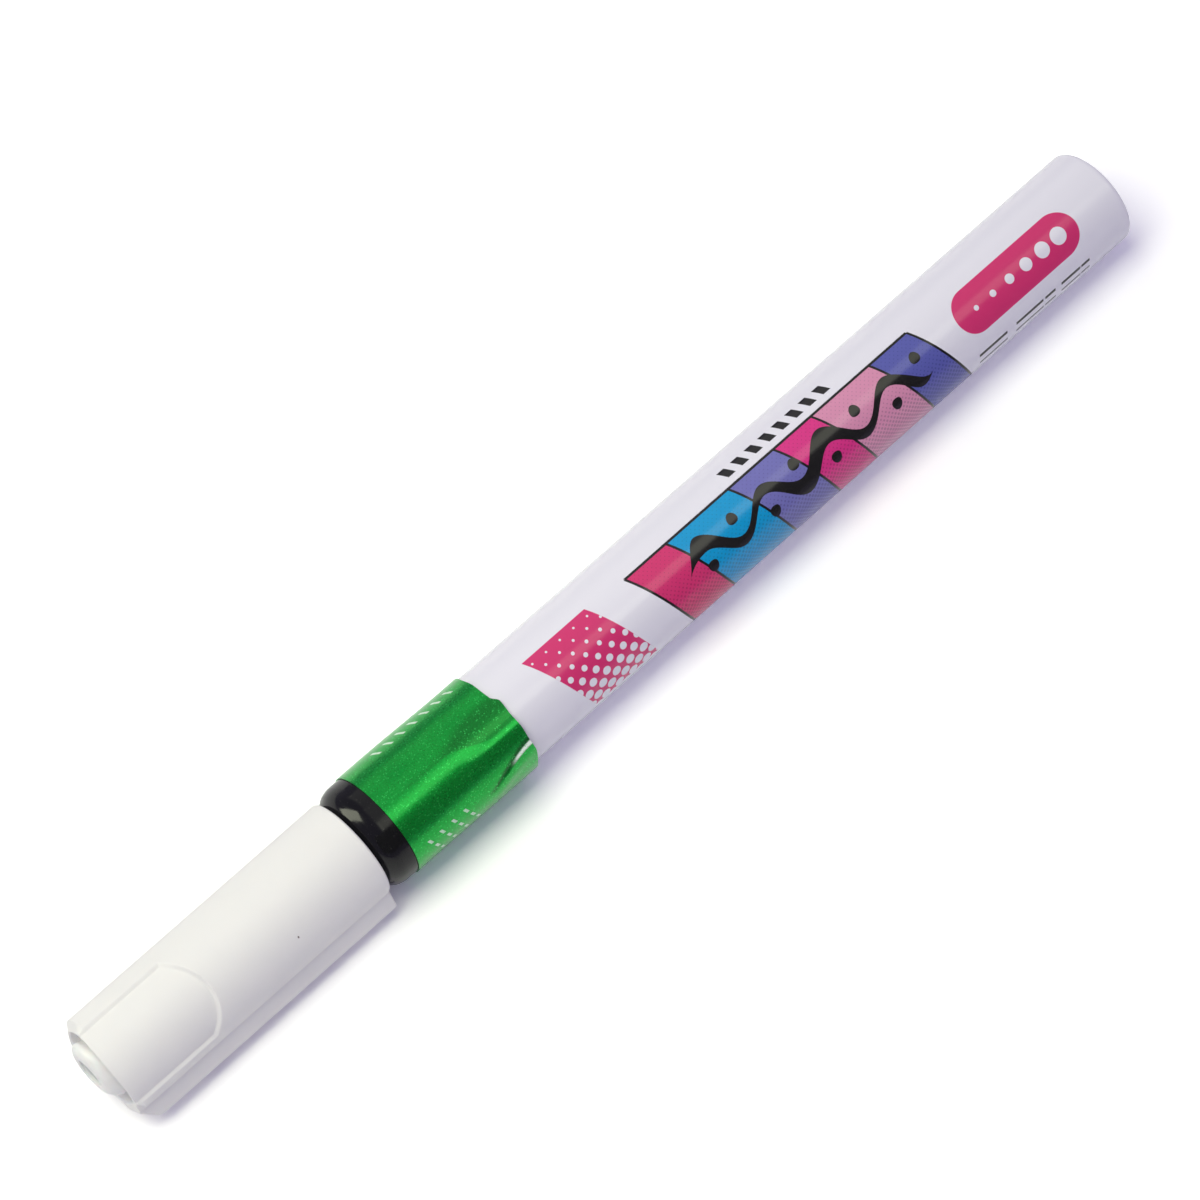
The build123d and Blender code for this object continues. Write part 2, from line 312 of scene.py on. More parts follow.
# %% [markdown]
# ## The barrel
# The barrel is a drawn aluminium tube with a closed, softly rounded end, painted white. It is a profile
# turned about the axis. A cylinder with a bevel would do for the outside, but the turned profile also has
# the floor, the bore and the thinner neck under the film, so the piece is whole when it is seen apart.

# %% Turn the barrel
barrel_high = node_box("barrel")[1]
barrel_length, barrel_r = barrel_high[0], barrel_high[2]
barrel_wall, barrel_floor = 0.5, 0.8
barrel_end_round, barrel_floor_round = 0.6, 0.5
neck_step, neck_cover = 0.2, 1.0
foil_low, foil_high = node_box("foil_band")
neck_back = foil_low[0] + neck_cover
bore_r = barrel_r - barrel_wall

barrel = turned("barrel_tube", rounded([
    (0, 0),
    (0, barrel_r, barrel_end_round),
    (neck_back, barrel_r),
    (neck_back + neck_step, barrel_r - neck_step),
    (barrel_length, barrel_r - neck_step),
    (barrel_length, bore_r),
    (barrel_floor, bore_r, barrel_floor_round),
    (barrel_floor, 0),
]))
stand_for(barrel, "barrel", "barrel")

# %% [markdown]
# ## The print on the barrel
# The print runs along one side of the barrel in crimson, pink, cyan, violet and black. The design here is
# a plain one of its own: slanted colour cells under a black wave, a crimson capsule and a pink patch with
# dots, and rows of dashes. It could be an image, but shapes written as distances in mm stay sharp at any
# size. A place on the barrel is told by two numbers: the way along the axis, and the way round, which is
# the angle times the radius.

# %% Print the barrel
crimson, rose = light(219, 52, 116), light(226, 150, 184)
hot_pink, cyan = light(228, 52, 140), light(4, 160, 218)
violet, blue_violet = light(92, 96, 178), light(120, 118, 190)
black, white = light(24, 22, 24), light(239, 237, 246)

paint = Finish("barrel_paint", IOR=1.46)
along, around = paint.x, paint.way_round(barrel_r)
diagonals = [paint.times(paint.calc(way, along, around), sqrt(0.5)) for way in ("ADD", "SUBTRACT")]

# Slanted cells: their edges lean by a share of the way round
CELL_LEAN, CELL_LINE = 0.42, 0.28
cell_top, cell_low = -2.1, 9.4
halftone_pitch, halftone_ink, deep_share = 0.42, 0.55, 0.45
cell_edges = [27.0, 32.4, 40.6, 45.9, 52.2, 60.8, 66.4]
cell_colours = [violet, rose, hot_pink, blue_violet, cyan, crimson]
leaning = paint.calc("MULTIPLY_ADD", around, CELL_LEAN, along)
in_row = paint.between(around, cell_top, cell_low)
shade = paint.rise(around, 0.5, 5.5, to=(0.05, 0.17))
halftone = paint.times(paint.dots(*diagonals, halftone_pitch, shade), halftone_ink)
colour = white
for low, high, ink in zip(cell_edges, cell_edges[1:], cell_colours):
    deep = tuple(deep_share * part for part in ink[:3]) + (1.0,)
    toned = paint.mix(halftone, ink, deep)
    colour = paint.mix(paint.times(in_row, paint.between(leaning, low, high)), colour, toned)
for edge in cell_edges:
    rule = paint.between(leaning, edge - CELL_LINE / 2, edge + CELL_LINE / 2)
    colour = paint.mix(paint.times(rule, in_row), colour, black)
in_length = paint.between(leaning, cell_edges[0], cell_edges[-1])
for edge in (cell_top, cell_low):
    rule = paint.between(around, edge - CELL_LINE / 2, edge + CELL_LINE / 2)
    colour = paint.mix(paint.times(rule, in_length), colour, black)

# A black wave that swells and thins across the cells, with a bead above or below each swing
WAVE_LENGTH, WAVE_SWING, wave_middle = 8.6, 1.35, 1.6
wave_from, wave_to = cell_edges[0] + 1.1, cell_edges[-1] - 4.2
wave_half, wave_pulse, wave_end, bead_swing, bead_r = 0.75, 0.28, 3.0, 1.25, 0.62
phase = paint.times(paint.less(along, cell_edges[0]), 2 * pi / WAVE_LENGTH)
swing = paint.calc("MULTIPLY_ADD", paint.calc("SINE", phase), WAVE_SWING, wave_middle)
pulse = paint.calc("COSINE", paint.times(phase, 0.5))
swell = paint.times(paint.calc("MULTIPLY_ADD", pulse, wave_pulse, wave_half),
                    paint.rise(along, wave_from, wave_from + wave_end),
                    paint.rise(along, wave_to, wave_to - wave_end))
off_wave = paint.calc("ABSOLUTE", paint.less(around, swing))
wave = paint.inside(off_wave, swell)
bead_line = paint.calc("MULTIPLY_ADD", paint.calc("SINE", phase), -bead_swing, wave_middle)
bead_along = paint.times(paint.repeat(phase, pi), WAVE_LENGTH / 2)
off_bead = paint.length(bead_along, paint.less(around, bead_line))
bead = paint.inside(off_bead, bead_r)
ribbon = paint.times(paint.either(wave, bead), paint.between(along, wave_from, wave_to))
colour = paint.mix(ribbon, colour, black)

# A crimson capsule with a row of white dots that grow along it
capsule_from, capsule_to, capsule_middle, capsule_half = 6.0, 23.2, 0.75, 2.5
straight = (capsule_to - capsule_from) / 2 - capsule_half
from_centre = paint.calc("ABSOLUTE", paint.less(along, (capsule_from + capsule_to) / 2))
past_end = paint.calc("MAXIMUM", paint.less(from_centre, straight), 0.0)
off_middle = paint.less(around, capsule_middle)
capsule = paint.inside(paint.length(past_end, off_middle), capsule_half)
colour = paint.mix(capsule, colour, crimson)
dot_pitch, dots_from, dots_to = 2.4, capsule_from + 1.3, capsule_to - 1.1
dot_radius = paint.rise(along, capsule_from + 2, capsule_to - 2, to=(0.95, 0.28))
dot_along, dot_across = paint.less(along, dots_from), paint.less(off_middle, -dot_pitch / 2)
grown = paint.dots(dot_along, dot_across, dot_pitch, dot_radius)
one_row = paint.between(off_middle, -dot_pitch / 2, dot_pitch / 2)
colour = paint.mix(paint.times(grown, one_row, paint.between(along, dots_from, dots_to)), colour, white)

# A leaning pink patch whose white dots grow towards one side
patch_ends, patch_sides, patch_pitch = (71.2, 79.6), (-2.6, 6.9), 1.3
patch = paint.times(paint.between(leaning, *patch_ends), paint.between(around, *patch_sides))
colour = paint.mix(patch, colour, crimson)
patch_dot = paint.rise(around, -2.2, 6.4, to=(0.12, 0.56))
colour = paint.mix(paint.times(patch, paint.dots(*diagonals, patch_pitch, patch_dot)), colour, white)

# Rows of dashes: a bold leaning one, and thin broken lines
DASH_PITCH, first_dash, last_dash = 1.9, 19, 26
bold_sides, line_ends = (-4.3, -3.0), (6.4, 22.6)
tick = paint.calc("DIVIDE", leaning, DASH_PITCH)
dash = paint.between(paint.calc("FRACT", tick), 0.2, 0.72, 0.04)
bold = paint.times(dash, paint.between(around, *bold_sides), paint.between(tick, first_dash, last_dash + 1))
gap = paint.noise(1.7, 1.0, stretch=(1.0, 0.02, 0.02))
broken = paint.rise(gap, 0.40, 0.44)
line_edges = [(5.35, 5.75), (6.55, 6.85), (8.2, 8.45)]
thin = paint.either(*[paint.between(around, *edges) for edges in line_edges])
lines = paint.times(thin, broken, paint.between(along, *line_ends))
colour = paint.mix(paint.either(bold, lines), colour, black)

# The print lies on the paint as a thin layer, and the paint is a little uneven in tone and gloss
ink_film = paint.either(paint.times(in_row, in_length), capsule, patch, bold, lines)
cloud = paint.noise(16.0, 1.0)
tint = paint.calc("MULTIPLY_ADD", cloud, 0.012, 0.982)
toned = paint.vector("SCALE", colour, Scale=tint)
gloss = paint.calc("MULTIPLY_ADD", cloud, 0.04, 0.15)
barrel.data.materials.append(paint.wear(
    Base_Color=toned, Roughness=gloss, Normal=paint.bump(ink_film, 0.003)))
print("print over", round(cell_edges[-1] - cell_edges[0], 1), "mm of the barrel")

# %% [markdown]
# ## The front section
# The black moulding between barrel and cap shows only its flange and its rounded shoulder, but it reaches
# back into the barrel as a plug and forward into the cap as a nose. It is one closed profile, turned as a
# ring.

# %% Turn the front section
section_low, section_high = node_box("front_section")
plug_back, snout_front = section_low[0], section_high[0]
flange_r = section_high[2]
flange_length, shoulder_round = 2.0, 2.4
flange_front = barrel_length + flange_length
nose_r, snout_r, nib_bore_r = 4.25, 2.55, 1.2
shoulder_middle = (flange_front, flange_r - shoulder_round)
shoulder_end = np.degrees(np.arcsin((nose_r - shoulder_middle[1]) / shoulder_round))
shoulder = arc(shoulder_middle, shoulder_round, 90, shoulder_end, 16)
nose_back = shoulder[-1][0]
snout_length, cone_length, bead_from_shoulder = 4.0, 2.0, 3.0
cone_front = snout_front - snout_length
plug_r, cavity_r, web_back = bore_r - 0.02, 3.9, barrel_length + 1.0
web_front, web_hole_r, well_r, well_front = web_back + 2.0, 1.5, 2.6, web_back + 11.0
groove_back, groove_front, groove_r = plug_back + 5.0, plug_back + 6.2, plug_r - 0.55
bead_x, bead_half, bead_height = nose_back + bead_from_shoulder, 0.6, 0.1
bead_round = (bead_half**2 + bead_height**2) / (2 * bead_height)
bead_turn = np.degrees(np.arcsin(bead_half / bead_round))
bead_arc = arc((bead_x, nose_r + bead_height - bead_round), bead_round, 90 + bead_turn, 90 - bead_turn)

behind_shoulder = rounded([
    (plug_back, cavity_r),
    (plug_back, plug_r, 0.2),
    (groove_back, plug_r),
    (groove_back, groove_r),
    (groove_front, groove_r),
    (groove_front, plug_r),
    (barrel_length, plug_r),
    (barrel_length, flange_r, 0.15),
    (flange_front - 0.05, flange_r),
])
before_bead = rounded([
    (cone_front - cone_length, nose_r, 0.3),
    (cone_front, snout_r, 0.3),
    (snout_front, snout_r, 0.25),
    (snout_front, nib_bore_r, 0.15),
    (well_front, nib_bore_r),
    (well_front, well_r),
    (web_front, well_r),
    (web_front, web_hole_r),
    (web_back, web_hole_r),
    (web_back, cavity_r),
])
section_profile = np.concatenate([behind_shoulder, shoulder, bead_arc, before_bead])
section = turned("front_section_moulding", section_profile, ring=True)
stand_for(section, "front_section", "barrel")

# %% [markdown]
# A polished black moulding is never quite even: fine rubbing marks run round it and a little dust lies on
# it. Both are too small to model, so noise stretched along the marks changes the gloss and the height by
# a trace.

# %% Polish the section
polish = Finish("section_black", IOR=1.5, Specular_IOR_Level=0.28)
rubbed = polish.noise(0.35, 3.0, stretch=(1.0, 0.12, 0.12))
dust = polish.rise(polish.noise(0.22, 1.0), 0.66, 0.74)
soot = polish.mix(polish.times(dust, 0.5), light(13, 13, 15), light(48, 47, 46))
section.data.materials.append(polish.wear(
    Base_Color=soot,
    Roughness=polish.rise(rubbed, 0.3, 0.8, to=(0.10, 0.24)),
    Normal=polish.bump(rubbed, 0.002)))

# %% [markdown]
# ## The film band
# A strip of green metallised film is wrapped once round the joint and lapped over itself at the back. It
# is loose: a low ridge runs along it towards the barrel, its edge there waves, and one pleat lifts near
# that edge. Cloth simulation could crumple it, but these few folds have known places, so each is a term
# of one height formula over the way along and the angle round. Three marks paint light and shade into
# the film's colour: painted shade where the film lies hollow and along the pleat's dark side, and a
# painted highlight on the pleat's open side.

# %% Fold the film
film, film_gap, film_lap, film_rise_angle = 0.08, 0.03, 22.0, 20.0
film_r, film_rows, film_columns = flange_r + film_gap, 80, 540
SEAM = -110.0


def climb(value, low, high):
    """Smooth step from 0 to 1 as the value goes from low to high: 3t squared less 2t cubed."""
    share = np.clip((value - low) / (high - low), 0, 1)
    return share * share * (3 - 2 * share)


def bell(value, middle, width):
    """A bell curve of height one."""
    return np.exp(-(((value - middle) / width) ** 2))


def pleat(x):
    """Angle of the pleat's upper line, and the angle that its open side spans, at a place along the film."""
    share = np.clip((90.6 - x) / 5.6, 0, 1)
    return 57.5 - 22.7 * (1 - (1 - share) ** 1.7), 0.3 + 3.6 * share


def fold_height(x, g):
    """Height of the film in mm over its round shape. g is the angle in degrees from the side that faces the
    camera. Towards the barrel a low ridge lies along it, steep above and slow below. Shallow waves lie about
    it, a pleat rises in a wedge that widens to the barrel's side, and the far side tapers in."""
    ridge = 0.22 * climb(x, 92.8, 88.2) * climb(g, 3, 17) * (1 - climb(g, 20, 70))
    wave = 0.03 * np.sin((x - 85) * 0.9 + g * 0.05) * bell(g, -30, 26)
    low_wave = 0.035 * bell(x, 93, 3) * bell(g, 30, 9) - 0.03 * bell(x, 97.5, 2) * bell(g, 24, 8)
    pleat_line, pleat_width = pleat(x)
    past_line = g - pleat_line
    pleat_lift = 0.15 * climb(past_line, 0, pleat_width + 0.6) * (1 - climb(past_line, 8, 26))
    taper = 0.1 * bell(g, 85, 40) - 0.2 * bell(g, -95, 50)
    return ridge + wave + low_wave + pleat_lift * climb(x, 91.2, 88.4) + taper * climb(x, 98.5, 87)


angles = np.linspace(SEAM, SEAM - 360 - film_lap, film_columns)
lift = climb(SEAM - angles, 360 - film_rise_angle, 360) * (film + film_gap)
facing_angle = (angles - np.degrees(FACING) + 180) % 360 - 180
edge_drop = 0.5 * (1 - climb(facing_angle, -21, -12)) * climb(facing_angle, -150, -100)
edge_wave = 0.05 * np.sin(np.radians(facing_angle) * 5) + 0.04 * np.sin(np.radians(facing_angle) * 11 + 1)
near_edge = foil_low[0] + 0.06 + edge_drop + edge_wave
along_share = np.linspace(0, 1, film_rows)[:, None]
film_x = near_edge + (foil_high[0] - near_edge) * along_share
raised = fold_height(film_x, facing_angle[None]) * climb(film_x, foil_high[0] + 0.1, foil_high[0] - 2.5)
outer = film_r + film + lift[None] + raised
thick = film * np.minimum(1, np.minimum(np.arange(film_columns), np.arange(film_columns)[::-1]))[None]
radius = np.concatenate([outer, (outer - thick)[::-1]])
film_along = np.concatenate([film_x, film_x[::-1]])
around_film = np.radians(angles)[None]
film_points = np.stack([film_along, radius * np.sin(around_film), radius * np.cos(around_film)], -1)

# Painted highlight on the pleat's open side; painted shade on its dark side and where the film lies hollow
line, width = pleat(film_x)
past_line = facing_angle - line
pleat_highlight_band = climb(past_line, -0.2, 0.5) * (1 - climb(past_line - width, 0, 0.7)) * climb(film_x, 88.2, 87.0)
pleat_shade_band = bell(past_line, -1.9, 2.7) * climb(film_x, 91.6, 90.2)
under_top = facing_angle + 9 + 14 * climb(film_x, 95.0, 88.3)
over_foot = -5.5 + 16 * climb(film_x, 93.0, 87.6) - facing_angle
hollow_shade_strength = 0.45 * bell(film_x, 95.6, 2.6) + 0.5 * climb(film_x, 95.0, 91.0)
hollow_shade = climb(under_top, -5, 7) * climb(over_foot, -0.4, 2.2) * hollow_shade_strength
foil = grid_piece("film_band", film_points, close_rows=True, marks={
    name: np.concatenate([mark, 0 * mark])
    for name, mark in (("pleat_painted_highlight", pleat_highlight_band), ("pleat_painted_shade", pleat_shade_band), ("hollow_shade", hollow_shade))})
stand_for(foil, "foil_band", "barrel")

# %% [markdown]
# Metallised film is a mirror under a coloured lacquer, embossed all over with a grain as fine as frost. A
# metallic shader with a saturated base gives the green mirror. Where a faint crinkle is high, small random
# cells are painted lighter, as painted glints, so that it glitters.

# %% Lacquer the film
lacquer = Finish("green_film", Coat_Weight=0.4, Coat_Roughness=0.15, Coat_IOR=1.4)
GRAIN_SIZE = 0.17
grain = lacquer.add("ShaderNodeTexVoronoi")
lacquer.put(grain.inputs["Vector"], lacquer.place)
grain.inputs["Scale"].default_value = 1 / GRAIN_SIZE
crinkle = lacquer.noise(0.5, 3.0)
frost = lacquer.noise(0.16, 2.0)
green = lacquer.mix(lacquer.rise(frost, 0.35, 0.72), light(2, 156, 52), light(10, 172, 64))
pleat_highlight_mark, pleat_shade_mark, hollow_shade_mark = [
    lacquer.add("ShaderNodeAttribute", attribute_name=name).outputs["Fac"]
    for name in ("pleat_painted_highlight", "pleat_painted_shade", "hollow_shade")]
film_around = lacquer.way_round(film_r)
STROKE_LEAN, STROKE_PITCH, tier = 0.5, 1.55, 1.15
slanted = lacquer.calc("MULTIPLY_ADD", film_around, STROKE_LEAN, lacquer.x)
slant = lacquer.calc("DIVIDE", slanted, STROKE_PITCH)
stroke = lacquer.between(lacquer.calc("FRACT", slant), 0.3, 0.52, 0.03)
tiers = lacquer.between(lacquer.calc("FRACT", lacquer.calc("DIVIDE", film_around, tier)), 0.2, 0.75, 0.05)
upper_row = lacquer.times(stroke, lacquer.between(film_around, -7.0, -5.9), lacquer.between(slant, 54, 61))
lower_row = lacquer.times(stroke, tiers, lacquer.between(film_around, 4 * tier, 7 * tier),
                          lacquer.between(slant, 62, 66))
marks = lacquer.either(upper_row, lower_row)
# Painted shade: where the film lies hollow, its green is painted darker
green = lacquer.mix(hollow_shade_mark, green, light(0, 74, 22))
# Painted shade: a dark green band along the pleat's shaded side
green = lacquer.mix(lacquer.times(pleat_shade_mark, 0.85), green, light(0, 52, 16))
green = lacquer.mix(lacquer.times(marks, 0.85), green, light(214, 236, 216))
# Painted highlight: the pleat's open side is painted near white
green = lacquer.mix(pleat_highlight_mark, green, light(244, 255, 244))
# Painted glints: random grain cells are painted a lighter green where the crinkle is high
chosen = lacquer.rise(grain.outputs["Color"], 0.58, 0.72)
dot = lacquer.rise(grain.outputs["Distance"], 0.5, 0.3)
painted_glint = lacquer.times(chosen, dot, lacquer.rise(crinkle, 0.3, 0.6))
green = lacquer.mix(lacquer.times(painted_glint, 0.6), green, light(70, 232, 110))
# The printed marks and the painted highlight are made less metallic
print_and_painted_highlight = lacquer.either(pleat_highlight_mark, marks)
foil.data.materials.append(lacquer.wear(
    Base_Color=green,
    Roughness=lacquer.rise(frost, 0.3, 0.7, to=(0.27, 0.31)),
    Metallic=lacquer.calc("MULTIPLY_ADD", print_and_painted_highlight, -0.8, 0.85)))

# %% [markdown]
# ## The cap
# The cap is a moulded shell, open at both ends, with a wing along its side that stops the marker rolling
# and a sunken panel for the thumb. Booleans would cut these forms in steps and leave hard edges. Here the
# cross-section is one outline, round with a wing, and each row of the grid is that outline with its own
# inset, its own place along the axis and its own panel depth. So the panel's edge is a soft slope, as a
# mould leaves it.

# %% The cap's outline
cap_low = node_box("cap_shell")[0]
inner_low, inner_high = node_box("inner_cap")
mouth_x, tail_x, tail_out = cap_low[0], inner_high[0], 0.81
rim_x = tail_x - tail_out
# Turns about the axis: of the thumb panel from upright, and of the wing from the panel
CAP_TURN, WING_TURN = radians(28.0), radians(96.7)
cap_r, cap_bore_r = 5.5, 4.4
mouth_round, mouth_lead = 0.3, 0.3
rim_bevel, rim_bevel_width = 0.6, 0.9
wing_reach, wing_root_half, wing_tip_half = 7.24, 1.6, 0.55
wing_root_round, wing_tip_round = 0.3, 0.25
wing_end_slope, wing_end_soft = 1.6, 0.12


def wing_half():
    """Half of the outline of the wing, from the middle of its tip to the round body, as (out, side) points.
    The root's fillet touches the wing's side and the round body: its middle lies one radius off both."""
    root_out = sqrt(cap_r**2 - wing_root_half**2)
    side = np.array([wing_reach - root_out, wing_tip_half - wing_root_half])
    side /= np.linalg.norm(side)
    off = np.array([-side[1], side[0]])
    level = off @ (root_out, wing_root_half) + wing_root_round
    reach = cap_r + wing_root_round
    middle = off * level + side * sqrt(reach**2 - level**2)
    start, end = -off, -middle / reach
    turns = np.degrees([atan2(start[1], start[0]), atan2(end[1], end[0])])
    fillet = arc(middle, wing_root_round, turns[0], turns[1] - 360 * (turns[1] > 0), 14)
    tip_corners = [(wing_reach, 0), (wing_reach, wing_tip_half, wing_tip_round), tuple(fillet[0])]
    tip = rounded(tip_corners, steps=7, guard=0.03)
    flank = fillet[0] + np.linspace(0.8, 0, 6)[:-1, None] * (tip[-2] - fillet[0])
    return np.concatenate([tip[:-2], flank, fillet])


half = wing_half()
body_from = np.degrees(atan2(half[-1][1], half[-1][0]))
body = arc((0, 0), cap_r, body_from, 360 - body_from, 390)
outline = np.concatenate([half, body[1:-1], half[:0:-1] * (1, -1)])
step = np.roll(outline, -1, 0) - np.roll(outline, 1, 0)
outward = np.stack([step[:, 1], -step[:, 0]], -1) / np.linalg.norm(step, axis=1)[:, None]
print("outline of", len(outline), "points, reach", outline.max().round(2), "mm")

# %% Carry the outline along the cap
panel_depth, panel_half_angle, panel_length, panel_arch_rise = 0.35, 54.0, 12.13, 2.0
panel_bevel, scoop_depth = 0.3, 0.35
side_rim_x = rim_x - scoop_depth
scoop_r = (cap_r**2 + scoop_depth**2) / (2 * scoop_depth)
panel_half = cap_r * sin(radians(panel_half_angle))
panel_apex = rim_x - panel_length
arch_r = (panel_half**2 + panel_arch_rise**2) / (2 * panel_arch_rise)


def by_panel(points):
    """Turns (out, side) points, whose first way is the wing's, to the panel's own ways: across it and up."""
    out, side = points.T
    return out * sin(WING_TURN) - side * cos(WING_TURN), out * cos(WING_TURN) + side * sin(WING_TURN)


def rim_at(points):
    """Where the scooped rim lies along the axis: a circle's sag over the way from the middle to the panel."""
    up = np.clip(by_panel(points)[1], -cap_r, cap_r)
    return side_rim_x + scoop_r - np.sqrt(scoop_r**2 - up**2)


def panel_sink(x, out, side):
    """Depth of the thumb panel: full inside an arch with straight sides, with a short slope along its edge.
    The way to a side is an angle times the radius, and the way to the arch is measured flat."""
    to_sides = cap_r * (radians(panel_half_angle) - np.abs(np.arctan2(out, side)))
    to_arch = arch_r - np.hypot(x - panel_apex - arch_r, out)
    ahead = x > panel_apex + arch_r
    edge = np.where(ahead, to_sides, np.minimum(to_sides, to_arch))
    ramp = np.clip(edge / panel_bevel + 0.5, 0, 1)
    return panel_depth * (0.7 * ramp + 0.3 * climb(ramp, 0, 1)) * (side > 0)


mouth_rows = arc((mouth_round, mouth_round), mouth_round, 180, 270, 8)
rim_corners = [(1.0, 0), (rim_bevel, 0, 0.1), (0, rim_bevel_width, 0.08), (0, 1.0)]
rim_rows = rounded(rim_corners, steps=4, guard=0.03)[1:-1]
rim_from = rim_rows[0][0]
near_mouth, panel_rows = 24, 140
before_panel = panel_apex - 0.8 - mouth_x
shares = np.concatenate([
    np.linspace(0, before_panel, near_mouth, endpoint=False),
    np.linspace(before_panel, side_rim_x - mouth_x - rim_from, panel_rows)])
shares = (shares / shares[-1])[1:-1]
rim_line = rim_at(outline)
off_wing = climb(np.abs(np.degrees(np.arctan2(outline[:, 1], outline[:, 0]))), 21, 29)
off_panel = climb(np.abs(np.degrees(np.arctan2(*by_panel(outline)))), 50, 75)
bevelled = off_wing * (0.15 + 0.85 * off_panel)


def cap_row(x, inset):
    """One row: the outline moved in by an inset, cut by the wing's sloped end, sunk where the panel is.
    The cut is half of the overreach and its length together, which rounds its start a little."""
    moved = outline - outward * np.reshape(inset, (-1, 1))
    slope_out = wing_reach - (x - (side_rim_x - wing_end_slope)) * (wing_reach - cap_r) / wing_end_slope
    over = moved[:, 0] - np.maximum(slope_out, 0.0)
    cut = 0.5 * (over + np.hypot(over, wing_end_soft))
    radius = np.hypot(*moved.T)
    wanted = np.maximum(radius * (1 - cut / np.maximum(moved[:, 0], 1.0)), np.minimum(radius, cap_r - inset))
    kept = np.where(moved[:, 0] > cap_r * 0.9, wanted, radius)
    sink = panel_sink(x, *by_panel(moved))
    sunk = np.where(sink > 0, np.minimum(kept, cap_r - sink), kept)
    return moved * (sunk / radius)[:, None]


rows_x, rows_out = [], []
for ahead, inset in mouth_rows:
    rows_x.append(mouth_x + ahead + 0 * rim_line)
    rows_out.append(cap_row(rows_x[-1], inset))
for share in shares:
    rows_x.append(mouth_x + mouth_round + share * (rim_line - rim_from - mouth_x - mouth_round))
    rows_out.append(cap_row(rows_x[-1], 0.0))
for drop, inset in rim_rows:
    rows_x.append(rim_line - drop)
    rows_out.append(cap_row(rows_x[-1], inset * bevelled))
bore = outline / np.hypot(*outline.T)[:, None] * cap_bore_r
bore_rim = rim_at(bore)
for lip, grow in ((0.0, 0.08), (0.08, 0.0)):
    rows_x.append(bore_rim - lip)
    rows_out.append(bore * (1 + grow / cap_bore_r))
for lip, grow in ((mouth_lead, 0.0), (0.0, mouth_lead)):
    rows_x.append(mouth_x + lip + 0 * bore_rim)
    rows_out.append(bore * (1 + grow / cap_bore_r))
cap_x, cap_section = np.array(rows_x), np.array(rows_out)
wing_way = CAP_TURN + WING_TURN
out_way = np.array([sin(wing_way), cos(wing_way)])
up_way = np.array([-cos(wing_way), sin(wing_way)])
cap_points = np.concatenate([
    cap_x[..., None], cap_section[..., :1] * out_way + cap_section[..., 1:] * up_way], -1)
cap = grid_piece("cap_shell_moulding", cap_points, close_rows=True, close_columns=True)
stand_for(cap, "cap_shell", "cap")

# %% [markdown]
# The cap is matt: its mould was lightly blasted, and the plastic took that texture. Light enters white
# plastic a little before it comes back, which softens the shading at edges, so a trace of subsurface
# scattering is used.

# %% Texture the cap
blasted = Finish("cap_white", IOR=1.46)
blasted.shader.inputs["Subsurface Radius"].default_value = (1.0, 0.9, 0.8)
stipple = blasted.noise(0.11, 2.0)
mottle = blasted.noise(3.5, 1.0)
cream = blasted.mix(mottle, light(240, 239, 236), light(244, 243, 240))
speck_x, speck_y, speck_r = 114.73, 4.31, 0.08
from_speck = blasted.length(blasted.less(blasted.x, speck_x), blasted.less(blasted.y, speck_y))
on_top = blasted.rise(blasted.z, 2, 3)
speck = blasted.times(blasted.inside(from_speck, speck_r, 0.08), on_top)
cream = blasted.mix(speck, cream, light(112, 96, 96))
# Inside the bore the colour is painted whiter, painted light that brightens the shaded gap round the inner
# cap,
# and the scattering there is stronger and reaches deeper
from_axis = blasted.length(blasted.y, blasted.z)
in_bore = blasted.inside(from_axis, cap_bore_r + 0.1, 0.1)
cap.data.materials.append(blasted.wear(
    Base_Color=blasted.mix(in_bore, cream, light(253, 251, 253)),
    Subsurface_Weight=blasted.rise(in_bore, 0, 1, to=(0.12, 0.9)),
    Subsurface_Scale=blasted.rise(in_bore, 0, 1, to=(0.4 * MM, 2.6 * MM)),
    Roughness=blasted.rise(stipple, 0.3, 0.7, to=(0.46, 0.60)),
    Normal=blasted.bump(stipple, 0.008)))

# %% [markdown]
# ## The inner cap
# A tube inside the cap shuts over the nose so that the nib can't dry. Its rounded tail, with a shallow
# round recess, shows in the open end of the cap, and four fins centre it in the shell. The fins grow out
# of the round tube over part of its length: in those rows the outline is round with four ridges, and
# elsewhere it is round.

# %% Carry the inner cap's outline
tube_back = inner_low[0]
tube_bore_r, tube_r, fin_r = 2.65, 3.25, 4.38
tail_round, tail_wall, recess_r, recess_depth = 1.2, 3.3, 1.55, 0.35
TAIL_LEAN = np.array([-0.33, 0.11])
fin_count, fin_half, fin_length, fin_from_mouth = 4, 0.45, 12.0, 4.5


def fin_outline():
    """Angles and radii of the finned outline, and the angles of the same points on the round tube.
    A fin's side is straight, so its angle is the arcsine of half its thickness over the radius."""
    inner_turn, outer_turn = np.arcsin(fin_half / tube_r), np.arcsin(fin_half / fin_r)
    crest = np.linspace(-outer_turn, outer_turn, 7)
    valley = np.linspace(inner_turn, 2 * pi / fin_count - inner_turn, 30)
    one = np.concatenate([crest, valley])
    reach = np.concatenate([np.full(7, fin_r), np.full(30, tube_r)])
    base = np.concatenate([np.linspace(-inner_turn, inner_turn, 9)[1:-1], valley])
    turns = 2 * pi / fin_count * (np.arange(fin_count) + 0.5)[:, None]
    return (turns + one).ravel(), np.tile(reach, fin_count), (turns + base).ravel()


